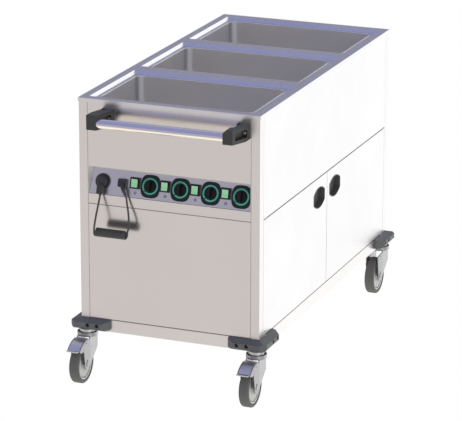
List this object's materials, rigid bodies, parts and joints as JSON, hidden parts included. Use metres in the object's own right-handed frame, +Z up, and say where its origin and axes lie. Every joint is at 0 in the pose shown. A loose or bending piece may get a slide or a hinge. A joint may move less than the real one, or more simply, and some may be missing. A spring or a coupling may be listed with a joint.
{
  "type": "hostess trolley",
  "caption": "Heated serving trolley with sunken pan wells, a hinged-door cupboard below, a recessed control panel, a coiled mains lead, a push handle and braked castors.",
  "frame": {"origin": "on the floor, under the middle of the bounding box of the trolley without its mains lead", "axes": "+Y runs from the push handle and control end to the rear end, +X points to the side with the cupboard doors, +Z is up"},
  "size_m": [0.66, 1.35, 0.92],
  "materials": {
    "body_steel": "brushed stainless sheet",
    "deck_steel": "brushed stainless sheet",
    "well_steel": "drawn stainless steel, satin",
    "panel_steel": "brushed stainless sheet",
    "tube_steel": "polished stainless tube",
    "zinc_steel": "zinc-plated steel",
    "heater_steel": "dull sheathed heating tube",
    "tyre": "grey moulded rubber",
    "wheel_plastic": "moulded plastic",
    "bumper_rubber": "moulded plastic, matt",
    "seal_rubber": "soft rubber profile",
    "dial_teal": "printed ring",
    "black_plastic": "moulded plastic",
    "knob_black": "moulded plastic, satin",
    "lens_green": "translucent moulded lens",
    "handle_black": "moulded plastic",
    "fitting_black": "moulded plastic",
    "lead_black": "flexible rubber sheath"
  },
  "bodies": {
    "trolley_body": {"base_frame": "body_steel", "castor_heads": "zinc_steel", "castor_bolts": "zinc_steel", "corner_bumpers": "bumper_rubber", "body_screws": "zinc_steel", "corner_posts": "body_steel", "front_panel_upper": "body_steel", "front_panel_lower": "body_steel", "left_panel": "body_steel", "rear_panel": "body_steel", "right_panel_upper": "body_steel", "component_tray": "body_steel", "cupboard_liner": "body_steel", "door_seal": "seal_rubber", "shelf": "body_steel", "hinge_pins": "zinc_steel", "top_deck": "deck_steel", "well_1": "well_steel", "well_2": "well_steel", "well_3": "well_steel", "heaters": "heater_steel", "control_fascia": "panel_steel", "knob_plates": "black_plastic", "dial_rings": "dial_teal", "switch_frames": "black_plastic", "thermostats": "black_plastic", "handle_bar": "tube_steel", "handle_brackets": "handle_black", "parking_socket": "fitting_black", "cable_gland": "fitting_black", "plug": "fitting_black", "cord_plug_stretch": "lead_black", "cord_coil": "lead_black", "cord_gland_stretch": "lead_black"},
    "swivel_fl": {"castor_fork_fl": "zinc_steel"},
    "wheel_fl": {"castor_core_fl": "wheel_plastic", "castor_tyre_fl": "tyre"},
    "swivel_fr": {"castor_fork_fr": "zinc_steel"},
    "wheel_fr": {"castor_core_fr": "wheel_plastic", "castor_tyre_fr": "tyre"},
    "swivel_rl": {"castor_fork_rl": "zinc_steel"},
    "wheel_rl": {"castor_core_rl": "wheel_plastic", "castor_tyre_rl": "tyre"},
    "swivel_rr": {"castor_fork_rr": "zinc_steel"},
    "wheel_rr": {"castor_core_rr": "wheel_plastic", "castor_tyre_rr": "tyre"},
    "pedal_fl": {"brake_pedal_fl": "zinc_steel"},
    "pedal_fr": {"brake_pedal_fr": "zinc_steel"},
    "door_front": {"door_front": "body_steel", "door_cup_front": "body_steel"},
    "door_rear": {"door_rear": "body_steel", "door_cup_rear": "body_steel"},
    "knob_1": {"knob_1": "knob_black"},
    "rocker_1": {"rocker_1": "lens_green"},
    "knob_2": {"knob_2": "knob_black"},
    "rocker_2": {"rocker_2": "lens_green"},
    "knob_3": {"knob_3": "knob_black"},
    "rocker_3": {"rocker_3": "lens_green"},
    "knob_4": {"knob_4": "knob_black"},
    "rocker_4": {"rocker_4": "lens_green"}
  },
  "joints": [
    {"name": "swivel_turn_fl", "type": "hinge", "parent": "trolley_body", "child": "swivel_fl", "pos_m": [-0.286, -0.553, 0.15], "axis": [0, 0, 1], "continuous": true},
    {"name": "swivel_turn_fr", "type": "hinge", "parent": "trolley_body", "child": "swivel_fr", "pos_m": [0.286, -0.553, 0.15], "axis": [0, 0, 1], "continuous": true},
    {"name": "swivel_turn_rl", "type": "hinge", "parent": "trolley_body", "child": "swivel_rl", "pos_m": [-0.286, 0.631, 0.15], "axis": [0, 0, 1], "continuous": true},
    {"name": "swivel_turn_rr", "type": "hinge", "parent": "trolley_body", "child": "swivel_rr", "pos_m": [0.286, 0.631, 0.15], "axis": [0, 0, 1], "continuous": true},
    {"name": "wheel_roll_fl", "type": "hinge", "parent": "swivel_fl", "child": "wheel_fl", "pos_m": [-0.286, -0.605, 0.0625], "axis": [1, 0, 0], "continuous": true},
    {"name": "wheel_roll_fr", "type": "hinge", "parent": "swivel_fr", "child": "wheel_fr", "pos_m": [0.286, -0.605, 0.0625], "axis": [1, 0, 0], "continuous": true},
    {"name": "wheel_roll_rl", "type": "hinge", "parent": "swivel_rl", "child": "wheel_rl", "pos_m": [-0.286, 0.579, 0.0625], "axis": [1, 0, 0], "continuous": true},
    {"name": "wheel_roll_rr", "type": "hinge", "parent": "swivel_rr", "child": "wheel_rr", "pos_m": [0.286, 0.579, 0.0625], "axis": [1, 0, 0], "continuous": true},
    {"name": "pedal_press_fl", "type": "hinge", "parent": "swivel_fl", "child": "pedal_fl", "pos_m": [-0.286, -0.6107, 0.134], "axis": [1, 0, 0], "range_deg": [0, 10]},
    {"name": "pedal_press_fr", "type": "hinge", "parent": "swivel_fr", "child": "pedal_fr", "pos_m": [0.286, -0.6107, 0.134], "axis": [1, 0, 0], "range_deg": [0, 10]},
    {"name": "door_swing_front", "type": "hinge", "parent": "trolley_body", "child": "door_front", "pos_m": [0.296, -0.519, 0.3945], "axis": [0, 0, -1], "range_deg": [0, 105]},
    {"name": "door_swing_rear", "type": "hinge", "parent": "trolley_body", "child": "door_rear", "pos_m": [0.296, 0.601, 0.3945], "axis": [0, 0, 1], "range_deg": [0, 105]},
    {"name": "knob_turn_1", "type": "hinge", "parent": "trolley_body", "child": "knob_1", "pos_m": [-0.0665, -0.55687, 0.65587], "axis": [0, 0.9511, -0.309], "range_deg": [0, 270]},
    {"name": "knob_turn_2", "type": "hinge", "parent": "trolley_body", "child": "knob_2", "pos_m": [0.034, -0.55687, 0.65587], "axis": [0, 0.9511, -0.309], "range_deg": [0, 270]},
    {"name": "knob_turn_3", "type": "hinge", "parent": "trolley_body", "child": "knob_3", "pos_m": [0.1345, -0.55687, 0.65587], "axis": [0, 0.9511, -0.309], "range_deg": [0, 270]},
    {"name": "knob_turn_4", "type": "hinge", "parent": "trolley_body", "child": "knob_4", "pos_m": [0.235, -0.55687, 0.65587], "axis": [0, 0.9511, -0.309], "range_deg": [0, 270]},
    {"name": "rocker_press_1", "type": "hinge", "parent": "trolley_body", "child": "rocker_1", "pos_m": [-0.1175, -0.55343, 0.66001], "axis": [-1, 0, 0], "range_deg": [0, 10]},
    {"name": "rocker_press_2", "type": "hinge", "parent": "trolley_body", "child": "rocker_2", "pos_m": [-0.017, -0.55343, 0.66001], "axis": [-1, 0, 0], "range_deg": [0, 10]},
    {"name": "rocker_press_3", "type": "hinge", "parent": "trolley_body", "child": "rocker_3", "pos_m": [0.0835, -0.55343, 0.66001], "axis": [-1, 0, 0], "range_deg": [0, 10]},
    {"name": "rocker_press_4", "type": "hinge", "parent": "trolley_body", "child": "rocker_4", "pos_m": [0.184, -0.55343, 0.66001], "axis": [-1, 0, 0], "range_deg": [0, 10]}
  ]
}
